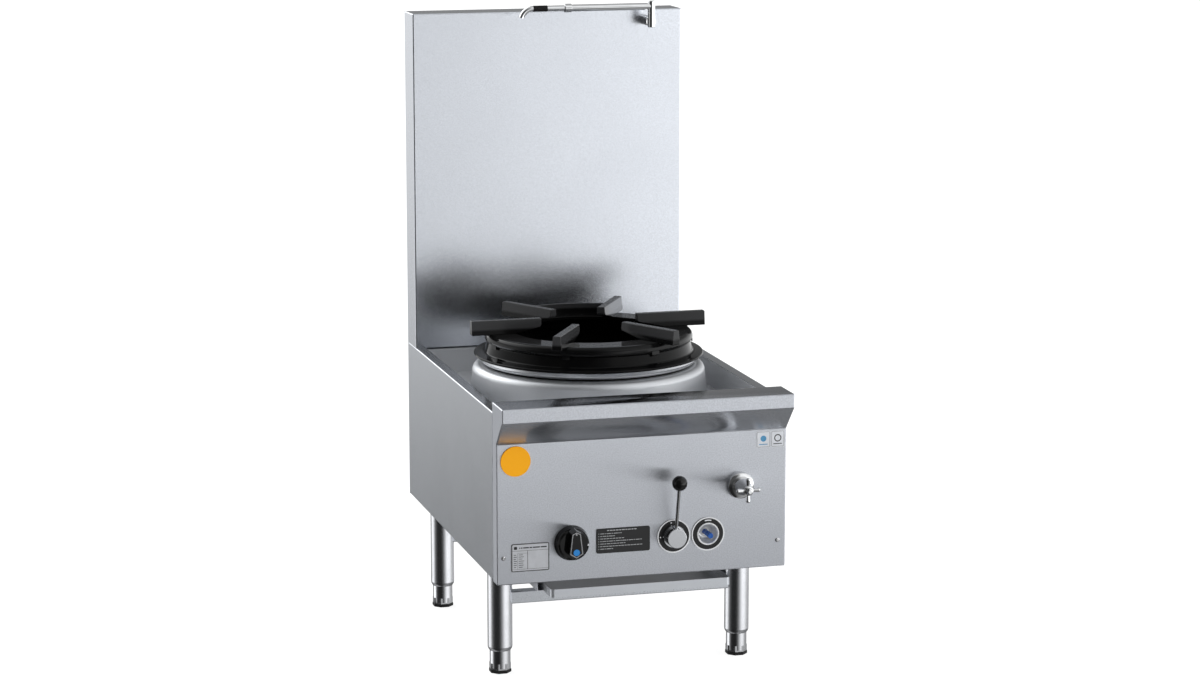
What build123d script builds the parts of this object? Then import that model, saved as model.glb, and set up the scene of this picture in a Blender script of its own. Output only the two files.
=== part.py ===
from build123d import *
import math
import os

os.makedirs("parts", exist_ok=True)

# ---------------------------------------------------------------- driving dimensions (mm)
# Depths are given from the front panel (0 at the panel face, positive to the rear) and moved
# by Y_MID so that the origin lies on the floor under the middle of the whole object.
Y_MID = 376.0
HALF_W = 300.0            # half of the body width
SHEET = 1.5               # sheet thickness
REAR = 817.0              # rear face of the rear sheet
BODY_Z0 = 230.0           # lower edge of the side panels
BODY_Z1 = 571.0           # top of the side flanges
FLANGE = 22.0             # width of the side flanges
PANEL_Z0 = 226.7          # lower edge of the front panel
PANEL_Z1 = 511.4          # top of the front panel, where the slope starts
LIP_Y = -49.5             # front of the lip
LIP_Z0 = 562.5            # lower edge of the lip
LIP_Z1 = 591.3            # top of the lip
LIP_BACK = 32.5           # rear edge of the lip
DECK_Z = 515.0            # top of the sunken deck
SPLASH_Y = 737.0          # front face of the splashback
SPLASH_Z = 1297.0         # top of the splashback
BURN_Y = 411.0            # burner axis
LEG_X = 253.0
LEG_YS = (170.6, 702.0)
LEG_R = 25.4              # 2 inch tube
LEG_Z0 = 47.0
PLATE_Z = 236.0           # underside of the leg plates
WEB_Z = 240.0             # underside of the chassis web
FOOT_R = 21.3
FOOT_BORE = 21.65
OCT_R = 22.4
RAIL = 25.0
RAIL_Z0 = 143.5
TRAY_X = 187.0
TRAY_Y0, TRAY_Y1 = 10.0, 640.0
TRAY_Z0, TRAY_Z1 = 191.5, 208.0
TRIVET_Z = 685.0          # top of the trivet fingers
CTRL_Z = 304.2            # height of the row of controls
KNOB_X = -147.3
LEVER_X = 64.3
BUTTON_X = 135.8
TAP_X, TAP_Z = 203.0, 400.5
ARM_X, ARM_Y, ARM_Z = 216.0, 682.0, 1307.0
ARM_REST_X = 21.0         # free end of the outer arm tube
GAS_X, WATER_X, INLET_Y = 180.0, 120.0, 760.0
PILOT_X = 104.0           # pilot and thermocouple, left and right of the burner


def Y(v):
    return v - Y_MID


def box(x0, x1, y0, y1, z0, z1, mode=Mode.ADD):
    with Locations(((x0 + x1) / 2, Y((y0 + y1) / 2), (z0 + z1) / 2)):
        Box(x1 - x0, y1 - y0, z1 - z0, mode=mode)


def cyl_z(x, y, z0, z1, r, mode=Mode.ADD):
    with Locations((x, Y(y), (z0 + z1) / 2)):
        Cylinder(r, z1 - z0, mode=mode)


def cyl_y(x, y0, y1, z, r, mode=Mode.ADD):
    with Locations(Location((x, Y((y0 + y1) / 2), z), (90, 0, 0))):
        Cylinder(r, y1 - y0, mode=mode)


def cyl_x(x0, x1, y, z, r, mode=Mode.ADD):
    with Locations(Location(((x0 + x1) / 2, Y(y), z), (0, 90, 0))):
        Cylinder(r, x1 - x0, mode=mode)


def cone_y(x, y0, y1, z, r0, r1, mode=Mode.ADD):
    # r0 at depth y0, r1 at depth y1 (y1 > y0)
    with Locations(Location((x, Y((y0 + y1) / 2), z), (-90, 0, 0))):
        Cone(r0, r1, y1 - y0, mode=mode)


def near(edges, point):
    return edges.sort_by_distance(point)[0]


def ring_plane():
    return Plane(origin=(0, Y(BURN_Y), 0), x_dir=(1, 0, 0), z_dir=(0, -1, 0))


def ring_axis():
    return Axis((0, Y(BURN_Y), 0), (0, 0, 1))


def spin(points, mode=Mode.ADD):
    # closed section of (radius, height) points, turned about the burner axis
    with BuildSketch(ring_plane()) as section:
        with BuildLine():
            Polyline(*points, close=True)
        make_face()
    revolve(section.sketch, axis=ring_axis(), mode=mode)


def tube(points, bend, r_out, r_in=0.0):
    # bent tube through (x, depth, z) points
    with BuildLine() as path:
        FilletPolyline(*[(a, Y(b), c) for a, b, c in points], radius=bend)
    with BuildSketch(Plane(origin=path.line @ 0, z_dir=path.line % 0)) as section:
        Circle(r_out)
        if r_in > 0:
            Circle(r_in, mode=Mode.SUBTRACT)
    sweep(section.sketch, path=path.line)


solids = []


def keep(builder, name):
    builder.part.label = name
    export_step(builder.part, "parts/" + name + ".step")
    solids.append(name)


SCREWS_FRONT = [(-286.0, 281.3), (283.2, 281.3)]
SCREWS_REAR = [(s * 289.0, z) for s in (-1, 1) for z in (262.0, 400.0, 540.0, 640.0, 930.0, 1220.0)]

# ---------------------------------------------------------------- front fascia with the raised lip
with BuildPart() as fascia:
    with BuildSketch(Plane.YZ.offset(-HALF_W)) as sk:
        with BuildLine():
            Polyline((Y(LIP_BACK), PANEL_Z0), (Y(0), PANEL_Z0), (Y(0), PANEL_Z1), (Y(LIP_Y), LIP_Z0),
                     (Y(LIP_Y), LIP_Z1), (Y(LIP_BACK), LIP_Z1), close=True)
        make_face()
        for a, b, r in ((0, PANEL_Z0, 2.0), (0, PANEL_Z1, 2.5), (LIP_Y, LIP_Z0, 2.5), (LIP_Y, LIP_Z1, 3.0),
                        (LIP_BACK, LIP_Z1, 2.0)):
            fillet(sk.vertices().sort_by_distance((Y(a), b, 0))[0], r)
    extrude(amount=2 * HALF_W)
    for k in (0, -1):
        rim = fascia.faces().sort_by(Axis.X)[k].edges()
        fillet([e for e in rim if e.center().Y < Y(LIP_BACK) - 0.5], 2.5)
    with BuildSketch(Plane.YZ.offset(-HALF_W + SHEET)):
        with BuildLine():
            Polyline((Y(LIP_BACK + 1), PANEL_Z0 + SHEET), (Y(SHEET), PANEL_Z0 + SHEET), (Y(SHEET), 512.0),
                     (Y(LIP_Y + SHEET), 563.1), (Y(LIP_Y + SHEET), LIP_Z1 - SHEET),
                     (Y(LIP_BACK + 1), LIP_Z1 - SHEET), close=True)
        make_face()
    extrude(amount=2 * (HALF_W - SHEET), mode=Mode.SUBTRACT)
    box(-HALF_W + SHEET, HALF_W - SHEET, LIP_BACK - SHEET, LIP_BACK, 569.5, LIP_Z1 - SHEET)
    cyl_y(KNOB_X, -3, 3, CTRL_Z, 6.0, Mode.SUBTRACT)
    cyl_y(LEVER_X, -3, 3, CTRL_Z, 13.0, Mode.SUBTRACT)
    cyl_y(BUTTON_X, -3, 3, CTRL_Z, 22.2, Mode.SUBTRACT)
    cyl_y(TAP_X, -3, 3, TAP_Z, 12.0, Mode.SUBTRACT)
    for a, b in SCREWS_FRONT:
        cyl_y(a, -3, 3, b, 2.2, Mode.SUBTRACT)
keep(fascia, "fascia")

# ---------------------------------------------------------------- side panels
with BuildPart() as side_left:
    box(-HALF_W, -HALF_W + SHEET, LIP_BACK, REAR - SHEET, BODY_Z0, BODY_Z1)
    box(-HALF_W, -HALF_W + FLANGE, LIP_BACK, REAR - SHEET, BODY_Z1 - SHEET, BODY_Z1)
    box(-HALF_W, -HALF_W + 20, LIP_BACK, REAR - SHEET, BODY_Z0, BODY_Z0 + SHEET)
    box(-HALF_W, -HALF_W + 20, REAR - 2 * SHEET, REAR - SHEET, BODY_Z0, BODY_Z1)
    fillet(near(side_left.edges().filter_by(Axis.Y), (-HALF_W, Y(400), BODY_Z1)), 2.4)
    fillet(near(side_left.edges().filter_by(Axis.Y), (-HALF_W, Y(400), BODY_Z0)), 2.4)
    for a, b in SCREWS_REAR:
        if a < 0 and b < BODY_Z1:
            cyl_y(a, REAR - 5, REAR, b, 2.2, Mode.SUBTRACT)
keep(side_left, "side_left")

with BuildPart() as side_right:
    add(side_left.part.mirror(Plane.YZ))
keep(side_right, "side_right")

# ---------------------------------------------------------------- rear sheet of body and splashback
with BuildPart() as rear_panel:
    box(-HALF_W, HALF_W, REAR - SHEET, REAR, BODY_Z0, SPLASH_Z)
    box(-HALF_W + 22, HALF_W - 22, REAR - 20, REAR - SHEET, BODY_Z0, BODY_Z0 + SHEET)
    for a, b in SCREWS_REAR:
        cyl_y(a, REAR - 3, REAR + 1, b, 2.2, Mode.SUBTRACT)
keep(rear_panel, "rear_panel")

# ---------------------------------------------------------------- splashback box
with BuildPart() as splash_front:
    with BuildSketch(Plane.XY.offset(BODY_Z1)) as sk:
        with Locations((0, Y((SPLASH_Y + REAR - SHEET) / 2))):
            Rectangle(2 * HALF_W, REAR - SHEET - SPLASH_Y)
        fillet(sk.vertices().sort_by(Axis.Y)[:2], 3.0)
    extrude(amount=SPLASH_Z - BODY_Z1)
    rim = splash_front.faces().sort_by(Axis.Z)[-1].edges()
    fillet([e for e in rim if e.center().Y < Y(REAR - SHEET) - 0.5], 2.4)
    box(-HALF_W + SHEET, HALF_W - SHEET, SPLASH_Y + SHEET, REAR, BODY_Z1 - 1, SPLASH_Z - SHEET, Mode.SUBTRACT)
    for s in (-1, 1):
        a, b = sorted((s * (HALF_W - 1.0), s * (HALF_W - 20)))
        box(a, b, REAR - 2 * SHEET, REAR - SHEET, BODY_Z1, SPLASH_Z - 1.0)
    for a, b in SCREWS_REAR:
        if b > BODY_Z1:
            cyl_y(a, REAR - 5, REAR, b, 2.2, Mode.SUBTRACT)
    cyl_y(ARM_X, SPLASH_Y - 2, SPLASH_Y + 3, 1275.0, 8.4, Mode.SUBTRACT)
keep(splash_front, "splash_front")

# ---------------------------------------------------------------- sunken deck pan
PAN_X = HALF_W - FLANGE
with BuildPart() as deck_pan:
    box(-PAN_X, PAN_X, LIP_BACK, SPLASH_Y, DECK_Z - SHEET, BODY_Z1 - SHEET)
    box(-PAN_X + SHEET, PAN_X - SHEET, LIP_BACK + SHEET, SPLASH_Y - SHEET, DECK_Z, BODY_Z1 + 1, Mode.SUBTRACT)
    box(-PAN_X - 1, PAN_X + 1, SPLASH_Y - SHEET, SPLASH_Y + 1, BODY_Z1 - 3.5, BODY_Z1 + 1, Mode.SUBTRACT)
    for s in (-1, 1):
        a, b = sorted((s * (PAN_X - SHEET), s * (PAN_X + 14)))
        box(a, b, 60, SPLASH_Y - SHEET, BODY_Z1 - 2 * SHEET, BODY_Z1 - SHEET)
    cyl_z(0, BURN_Y, DECK_Z - 5, DECK_Z + 1, 150.0, Mode.SUBTRACT)
keep(deck_pan, "deck_pan")

# ---------------------------------------------------------------- chassis frame
BOLTS = [(sx * LEG_X + dx, ly + dy) for sx in (-1, 1) for ly in LEG_YS for dx in (-28, 28) for dy in (-28, 28)]
with BuildPart() as chassis:
    for s in (-1, 1):
        for x0, x1, z0, z1 in ((214, 298.5, WEB_Z, WEB_Z + 3), (214, 217, WEB_Z, WEB_Z + 30),
                               (295.5, 298.5, WEB_Z, WEB_Z + 30)):
            a, b = sorted((s * x0, s * x1))
            box(a, b, 60, 800, z0, z1)
    box(-216, 216, 60, 63, WEB_Z, WEB_Z + 30)
    box(-216, 216, 797, 800, WEB_Z, WEB_Z + 30)
    for a, b in BOLTS:
        cyl_z(a, b, WEB_Z - 1, WEB_Z + 4, 4.3, Mode.SUBTRACT)
keep(chassis, "chassis")

# ---------------------------------------------------------------- legs, feet
corners = (("fl", -1, 0), ("fr", 1, 0), ("rl", -1, 1), ("rr", 1, 1))
for tag, sx, k in corners:
    lx, ly = sx * LEG_X, LEG_YS[k]
    with BuildPart() as leg:
        cyl_z(lx, ly, LEG_Z0, PLATE_Z, LEG_R)
        with BuildSketch(Plane(origin=(lx, Y(ly), 0), x_dir=(1, 0, 0), z_dir=(0, -1, 0))):
            with BuildLine():
                e1 = ThreePointArc((LEG_R - 3.7, LEG_Z0), (LEG_R - 0.95, LEG_Z0 + 4.1), (LEG_R, LEG_Z0 + 9.5))
                Polyline(e1 @ 1, (LEG_R + 2, LEG_Z0 + 9.5), (LEG_R + 2, LEG_Z0 - 2), (LEG_R - 3.7, LEG_Z0 - 2), e1 @ 0)
            make_face()
        revolve(axis=Axis((lx, Y(ly), 0), (0, 0, 1)), mode=Mode.SUBTRACT)
        box(lx - 42, lx + 42, ly - 42, ly + 42, PLATE_Z, WEB_Z)
        cyl_z(lx, ly, LEG_Z0 - 1, PLATE_Z, FOOT_BORE, Mode.SUBTRACT)
        for dx in (-28, 28):
            for dy in (-28, 28):
                cyl_z(lx + dx, ly + dy, PLATE_Z - 1, WEB_Z + 1, 4.3, Mode.SUBTRACT)
    keep(leg, "leg_" + tag)
    with BuildPart() as foot:
        with BuildSketch(Plane.XY) as sk:
            with Locations((lx, Y(ly))):
                RegularPolygon(OCT_R, 8, rotation=22.5)
        extrude(amount=20)
        cyl_z(lx, ly, 10, 130, FOOT_R)
        fillet(foot.edges().filter_by(GeomType.CIRCLE).sort_by(Axis.Z)[-1], 1.5)
        cyl_z(lx, ly, 24, 131, FOOT_R - 2.6, Mode.SUBTRACT)
        chamfer([e for e in foot.edges() if abs(e.center().Z) < 0.01], 0.8)
    keep(foot, "foot_" + tag)

with BuildPart() as leg_bolts:
    for a, b in BOLTS:
        with BuildSketch(Plane.XY.offset(PLATE_Z - 4.2)):
            with Locations((a, Y(b))):
                RegularPolygon(7.4, 6)
        extrude(amount=4.2)
        cyl_z(a, b, PLATE_Z - 1, WEB_Z + 4, 4.0)
        with BuildSketch(Plane.XY.offset(WEB_Z + 3)):
            with Locations((a, Y(b))):
                RegularPolygon(7.4, 6)
        extrude(amount=6.5)
keep(leg_bolts, "leg_bolts")

# ---------------------------------------------------------------- cross rails between the legs
for name, ly in (("rail_front", LEG_YS[0]), ("rail_rear", LEG_YS[1])):
    with BuildPart() as rail:
        box(-LEG_X, LEG_X, ly - RAIL / 2, ly + RAIL / 2, RAIL_Z0, RAIL_Z0 + RAIL)
        fillet(rail.edges().filter_by(Axis.X), 2.0)
        box(-LEG_X - 1, LEG_X + 1, ly - RAIL / 2 + SHEET, ly + RAIL / 2 - SHEET, RAIL_Z0 + SHEET,
            RAIL_Z0 + RAIL - SHEET, Mode.SUBTRACT)
        for s in (-1, 1):
            cyl_z(s * LEG_X, ly, RAIL_Z0 - 5, RAIL_Z0 + RAIL + 5, LEG_R, Mode.SUBTRACT)
    keep(rail, name)

# ---------------------------------------------------------------- tray runners and drip tray
for name, s in (("runner_left", -1), ("runner_right", 1)):
    with BuildPart() as runner:
        for x0, x1, y0, y1, z0, z1 in ((198, 199.5, 72, 655, 190, 216), (176, 199.5, 72, 655, 190, TRAY_Z0),
                                       (181, 199.5, 72, 655, 214.5, 216), (198, 199.5, 260, 300, 215, WEB_Z),
                                       (198, 236, 260, 300, WEB_Z - SHEET, WEB_Z), (198, 199.5, 560, 600, 215, WEB_Z),
                                       (198, 236, 560, 600, WEB_Z - SHEET, WEB_Z), (176, 199.5, 653.5, 655, 190, 216)):
            a, b = sorted((s * x0, s * x1))
            box(a, b, y0, y1, z0, z1)
    keep(runner, name)

with BuildPart() as drip_tray:
    with BuildSketch(Plane.XY.offset(TRAY_Z0)):
        with Locations((0, Y((TRAY_Y0 + TRAY_Y1) / 2))):
            RectangleRounded(2 * TRAY_X, TRAY_Y1 - TRAY_Y0, 7.0)
    extrude(amount=TRAY_Z1 - TRAY_Z0)
    with BuildSketch(Plane.XY.offset(TRAY_Z0 + 1.5)):
        with Locations((0, Y((TRAY_Y0 + TRAY_Y1) / 2))):
            RectangleRounded(2 * TRAY_X - 3.0, TRAY_Y1 - TRAY_Y0 - 3.0, 5.5)
    extrude(amount=TRAY_Z1 - TRAY_Z0, mode=Mode.SUBTRACT)
keep(drip_tray, "drip_tray")

# ---------------------------------------------------------------- burner collar and rings
with BuildPart() as burner_collar:
    with BuildSketch(ring_plane()):
        with BuildLine():
            l1 = Polyline((262, DECK_Z), (262, DECK_Z + SHEET), (250.5, DECK_Z + SHEET), (244.5, 571))
            l2 = RadiusArc(l1 @ 1, (227.5, 588), -17)
            l3 = Polyline(l2 @ 1, (199, 588), (199, 586.5), (227.5, 586.5))
            l4 = RadiusArc(l3 @ 1, (243, 571), 15.5)
            Polyline(l4 @ 1, (249, DECK_Z), (262, DECK_Z))
        make_face()
    revolve(axis=ring_axis())
keep(burner_collar, "burner_collar")

with BuildPart() as rim_ring:
    with BuildSketch(ring_plane()):
        with BuildLine():
            c1 = Polyline((227.8, 598.7), (227.8, 606), (212.5, 606), (212.5, 588), (219.5, 588), (219.5, 590.4))
            ThreePointArc(c1 @ 1, (225.37, 592.83), c1 @ 0)
        make_face()
    revolve(axis=ring_axis())
keep(rim_ring, "rim_ring")

with BuildPart() as lower_ring:
    with BuildSketch(ring_plane()):
        with BuildLine():
            a1 = Polyline((238.2, 606), (204, 606), (204, 618), (207.5, 621), (207.5, 635.0), (213.0, 635.0), (213.4, 634.2),
                          (217.9, 618.2))
            a2 = ThreePointArc(a1 @ 1, (219.4, 614.9), (222.8, 613.3))
            a3 = Line(a2 @ 1, (237.6, 611.9))
            ThreePointArc(a3 @ 1, (240.9, 608.8), (238.2, 606))
        make_face()
    revolve(axis=ring_axis())
keep(lower_ring, "lower_ring")

# one finger of the trivet, along +X from the burner axis
F_IN, F_OUT, F_Z0 = 104.0, 253.0, 655.0
with BuildPart() as finger:
    with BuildSketch(Plane.XZ.offset(-20)) as sk:
        with BuildLine():
            Polyline((F_IN, TRIVET_Z), (F_IN, 668), (161, F_Z0), (F_OUT, F_Z0), (F_OUT, TRIVET_Z), close=True)
        make_face()
        fillet(sk.vertices().sort_by_distance((F_IN, 668, 0))[0], 6.0)
    extrude(amount=40)
    with BuildSketch(Plane.YZ.offset(90)):
        with BuildLine():
            Polyline((-11.8, 650), (11.8, 650), (7.7, TRIVET_Z + 1), (-7.7, TRIVET_Z + 1), close=True)
        make_face()
    extrude(amount=200, mode=Mode.INTERSECT)
    fillet([e for e in finger.edges() if e.center().Z > 657.0 or e.center().X > 165.0], 1.5)

with BuildPart() as finger_web:
    with BuildSketch(Plane.XZ.offset(-8.5)):
        with BuildLine():
            Polyline((176, 660), (176, 645), (196, 640), (212, 640), (214.5, 646), (214.5, 658), close=True)
        make_face()
    extrude(amount=17)

with BuildPart() as guard:
    with BuildSketch(Plane.XY.offset(644)):
        Circle(209)
        Circle(203.5, mode=Mode.SUBTRACT)
    extrude(amount=32)
    with BuildSketch(Plane.XY.offset(640)):
        with BuildLine():
            Polyline((0, 0), (400 * math.cos(math.radians(59)), 400 * math.sin(math.radians(59))), (0, 420),
                     (400 * math.cos(math.radians(121)), 400 * math.sin(math.radians(121))), close=True)
        make_face()
    extrude(amount=40, mode=Mode.INTERSECT)

# one locating lug under the trivet ring, clear of the neck of the lower ring
with BuildPart() as lug:
    with BuildSketch(Plane.XZ):
        with BuildLine():
            Polyline((215.6, 641), (215.6, 635.4), (216.4, 631.2), (218.4, 631.2), (218.6, 634.0), (218.2, 641), close=True)
        make_face()
    revolve(axis=Axis.Z, revolution_arc=5.0)

LUGS = [242.5 + 360.0 / 7 * k for k in range(7)]
with BuildPart() as trivet_local:
    with BuildSketch(Plane.XZ) as sk:
        with BuildLine():
            b1 = Polyline((218.6, 645.9), (218.6, 642.0), (217.4, 638.6), (213.4, 635.0), (196, 635.0), (161, 647), (157.5, 650),
                          (157.5, 655.2), (158.3, 656.0), (208.5, 656.0))
            ThreePointArc(b1 @ 1, (215.64, 653.04), b1 @ 0)
        make_face()
    revolve(axis=Axis.Z)
    for k in range(6):
        add(finger.part.rotate(Axis.Z, 60 * k))
        add(finger_web.part.rotate(Axis.Z, 60 * k))
    add(guard.part)
    for a in LUGS:
        add(lug.part.rotate(Axis.Z, a - 2.5))
with BuildPart() as trivet:
    add(trivet_local.part.moved(Location((0, Y(BURN_Y), 0))))
keep(trivet, "trivet")

# ---------------------------------------------------------------- burner, bowl and gas parts inside
with BuildPart() as burner_bowl:
    spin([(209.5, 588), (209.5, 590), (201, 590), (90, 544), (36, 544), (36, 542), (90.8, 542), (197.5, 586.2), (198.4, 588)])
    for a in (-PILOT_X, PILOT_X):
        cyl_z(a, BURN_Y, 535, 562, 6.0, Mode.SUBTRACT)
keep(burner_bowl, "burner_bowl")

with BuildPart() as burner_head:
    spin([(21, 528), (30, 528), (30, 544), (58, 544), (58, 550), (48, 556), (78, 572), (82, 580), (82, 592), (74, 600),
          (50, 603), (46, 592), (18, 592), (18, 598), (0.0, 598), (0.0, 586), (40, 580), (34, 566), (21, 560)])
    with Locations((0, Y(BURN_Y), 586)):
        with PolarLocations(80, 30):
            Cylinder(2.0, 14, rotation=(0, 90, 0), mode=Mode.SUBTRACT)
    with Locations((0, Y(BURN_Y), 600)):
        with PolarLocations(62, 24):
            Cylinder(2.2, 12, mode=Mode.SUBTRACT)
keep(burner_head, "burner_head")

with BuildPart() as mixer_tube:
    spin([(34, 430), (24, 446), (24, 527.6), (30.4, 527.6), (30.4, 542), (52, 542), (52, 536), (33.5, 536), (33.5, 522),
          (27, 515), (27, 446), (36, 430)])
keep(mixer_tube, "mixer_tube")

with BuildPart() as burner_pipe:
    tube([(LEVER_X, 45, 328), (LEVER_X, 45, 380), (LEVER_X, BURN_Y, 380), (0, BURN_Y, 380), (0, BURN_Y, 402)], 18.0, 8.6, 6.4)
keep(burner_pipe, "burner_pipe")

with BuildPart() as injector:
    with BuildSketch(Plane.XY.offset(402)):
        with Locations((0, Y(BURN_Y))):
            RegularPolygon(11, 6)
    extrude(amount=12)
    cyl_z(0, BURN_Y, 414, 424, 6.0)
    cyl_z(0, BURN_Y, 400, 430, 1.6, Mode.SUBTRACT)
keep(injector, "injector")

with BuildPart() as pilot_burner:
    tube([(-PILOT_X, BURN_Y, 585), (-PILOT_X, BURN_Y, 420), (-PILOT_X, 40, 420), (KNOB_X, 40, 420), (KNOB_X, 40, 326)], 16.0, 3.2)
    cyl_z(-PILOT_X, BURN_Y, 556, 568, 8.0)
    cyl_z(-PILOT_X, BURN_Y, 580, 592, 5.0)
    cyl_z(-PILOT_X, BURN_Y, 586, 594, 3.4, Mode.SUBTRACT)
keep(pilot_burner, "pilot_burner")

with BuildPart() as thermocouple:
    tube([(PILOT_X, BURN_Y, 588), (PILOT_X, BURN_Y, 440), (PILOT_X, 45, 440), (BUTTON_X, 45, 440), (BUTTON_X, 45, 326)], 14.0, 2.4)
    cyl_z(PILOT_X, BURN_Y, 556, 570, 5.0)
keep(thermocouple, "thermocouple")

with BuildPart() as gas_manifold:
    tube([(GAS_X, INLET_Y, 190), (GAS_X, INLET_Y, CTRL_Z), (GAS_X + 14, 300, CTRL_Z), (GAS_X + 14, 45, CTRL_Z), (159, 45, CTRL_Z)], 19.0, 13.2, 10.2)
keep(gas_manifold, "gas_manifold")

with BuildPart() as main_valve:
    box(40, 88.5, 8, 70, 282, 326)
    fillet(main_valve.edges().filter_by(Axis.Z), 5.0)
    cyl_y(LEVER_X, 1.5, 9, CTRL_Z, 18.0)
    cyl_y(LEVER_X, -2.5, 4, CTRL_Z, 12.8)
    cyl_z(LEVER_X, 45, 320, 328, 13.0)
    cyl_x(88, 112, 45, CTRL_Z, 12.0)
    cyl_x(-124, 42, 45, CTRL_Z, 4.0)
    cyl_y(LEVER_X, -5, 36, CTRL_Z, 5.08, Mode.SUBTRACT)
keep(main_valve, "main_valve")

with BuildPart() as pilot_cock:
    box(KNOB_X - 23, KNOB_X + 23, 8, 60, 283, 325)
    fillet(pilot_cock.edges().filter_by(Axis.Z), 5.0)
    cyl_y(KNOB_X, 1.5, 9, CTRL_Z, 11.0)
    cyl_z(KNOB_X, 40, 320, 326, 7.0)
    cyl_y(KNOB_X, 0, 32, CTRL_Z, 4.08, Mode.SUBTRACT)
keep(pilot_cock, "pilot_cock")

with BuildPart() as ffd_valve:
    box(112, 159, 27, 76, 282, 324)
    fillet(ffd_valve.edges().filter_by(Axis.Z), 5.0)
    cyl_y(BUTTON_X, 24, 28, CTRL_Z, 13.0)
    cyl_z(BUTTON_X, 45, 322, 326, 6.0)
    cyl_y(BUTTON_X, 23, 54, CTRL_Z, 5.58, Mode.SUBTRACT)
keep(ffd_valve, "ffd_valve")

# ---------------------------------------------------------------- gas knob
with BuildPart() as knob:
    cone_y(KNOB_X, -14, -1.2, CTRL_Z, 32.4, 35.8)
    cone_y(KNOB_X, -17.5, -14, CTRL_Z, 27.5, 30.8)
    with BuildSketch(Plane(origin=(KNOB_X, Y(-39.5), CTRL_Z), x_dir=(1, 0, 0), z_dir=(0, -1, 0))):
        with BuildLine():
            Polyline((0, 32.0), (9.4, 27.2), (14.4, -14.6), (0, -23.8), (-14.4, -14.6), (-9.4, 27.2), close=True)
        make_face()
    extrude(amount=-36.0, taper=-4.5)
    front = knob.faces().sort_by(Axis.Y)[0].edges()
    fillet(front, 1.2)
    cyl_y(KNOB_X, -4, 26, CTRL_Z, 4.0)
keep(knob, "knob")

# ---------------------------------------------------------------- lever
with BuildPart() as lever_bezel:
    cyl_y(LEVER_X, -1.5, 0, CTRL_Z, 34.4)
    cyl_y(LEVER_X, -3, 1, CTRL_Z, 13.4, Mode.SUBTRACT)
keep(lever_bezel, "lever_bezel")

ROD_A = Vector(LEVER_X, Y(-15.5), CTRL_Z + 8.0)
BALL_C = Vector(LEVER_X, Y(-40.0), CTRL_Z + 116.7)
ROD_D = (BALL_C - ROD_A).normalized()
ROD_L = (BALL_C - ROD_A).length - 4.0
with BuildPart() as lever_rod:
    with BuildSketch(Plane(origin=ROD_A, z_dir=ROD_D)):
        Circle(3.4)
    extrude(amount=ROD_L)
keep(lever_rod, "lever_rod")

with BuildPart() as lever_hub:
    cyl_y(LEVER_X, -26, -3.5, CTRL_Z, 19.8)
    fillet(near(lever_hub.edges().filter_by(GeomType.CIRCLE), (LEVER_X, Y(-26), CTRL_Z)), 1.0)
    cone_y(LEVER_X, -6.8, -3.5, CTRL_Z, 22.6, 23.6)
    cyl_y(LEVER_X, -5, 30, CTRL_Z, 5.0)
    add(lever_rod.part, mode=Mode.SUBTRACT)
keep(lever_hub, "lever_hub")

with BuildPart() as lever_ball:
    with Locations(BALL_C):
        Sphere(15.2)
    add(lever_rod.part, mode=Mode.SUBTRACT)
keep(lever_ball, "lever_ball")

# ---------------------------------------------------------------- push button
with BuildPart() as button_bezel:
    cyl_y(BUTTON_X, -1.5, 0, CTRL_Z, 34.4)
    cyl_y(BUTTON_X, -3, 1, CTRL_Z, 20.9, Mode.SUBTRACT)
keep(button_bezel, "button_bezel")

with BuildPart() as button_dish:
    with BuildSketch(Plane(origin=(BUTTON_X, Y(0), CTRL_Z), x_dir=(1, 0, 0), z_dir=(0, 0, 1))) as sk:
        with BuildLine():
            Polyline((20.6, 2.0), (20.6, -1.5), (22.9, -1.5), (22.9, -2.6), (22.2, -3.2), (20.6, -3.2), (19.4, -2.2), (18.2, 10.0),
                     (16.4, 18.0), (13.0, 21.4), (8.8, 22.2), (8.8, 18.4), (7.8, 17.6), (6.3, 17.6), (6.3, 24.0), (13.6, 23.2),
                     (17.8, 19.4), (19.6, 10.5), close=True)
        make_face()
    revolve(axis=Axis((BUTTON_X, Y(0), CTRL_Z), (0, 1, 0)))
keep(button_dish, "button_dish")

with BuildPart() as button_pin:
    cyl_y(BUTTON_X, -20, 38, CTRL_Z, 5.5)
    fillet(near(button_pin.edges().filter_by(GeomType.CIRCLE), (BUTTON_X, Y(-20), CTRL_Z)), 0.9)
keep(button_pin, "button_pin")

# ---------------------------------------------------------------- water tap
with BuildPart() as tap_flange:
    with BuildSketch(Plane(origin=(TAP_X, Y(0), TAP_Z), x_dir=(1, 0, 0), z_dir=(0, 0, 1))):
        with BuildLine():
            p1 = Polyline((10.0, 0), (27.5, 0), (27.5, -1.6), (26.4, -9.0))
            p2 = ThreePointArc(p1 @ 1, (23.25, -11.42), (19.6, -12.94))
            Polyline(p2 @ 1, (15.0, -14.2), (13.0, -18.2), (10.0, -18.2), (10.0, 0))
        make_face()
    revolve(axis=Axis((TAP_X, Y(0), TAP_Z), (0, 1, 0)))
keep(tap_flange, "tap_flange")

with BuildPart() as tap_body:
    cyl_y(TAP_X, -38, 6, TAP_Z, 8.4)
    cyl_y(TAP_X, -26, 6, TAP_Z, 9.8)
    cyl_y(TAP_X, 1.5, 6, TAP_Z, 17.0)
    cyl_y(TAP_X, 6, 60, TAP_Z, 15.0)
    cyl_z(TAP_X, 35, TAP_Z, TAP_Z + 24, 11.5)
    cyl_y(TAP_X, -40, -4, TAP_Z, 4.08, Mode.SUBTRACT)
keep(tap_body, "tap_body")

with BuildPart() as tap_arm:
    with BuildSketch(Plane.XZ):
        with BuildLine():
            Polyline((0, 25.3), (0, 7), (3.4, 7), (4.9, 25.3), close=True)
        make_face()
    revolve(axis=Axis.Z)
    fillet(tap_arm.edges().filter_by(GeomType.CIRCLE).sort_by(Axis.Z)[-1], 3.6)

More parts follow.
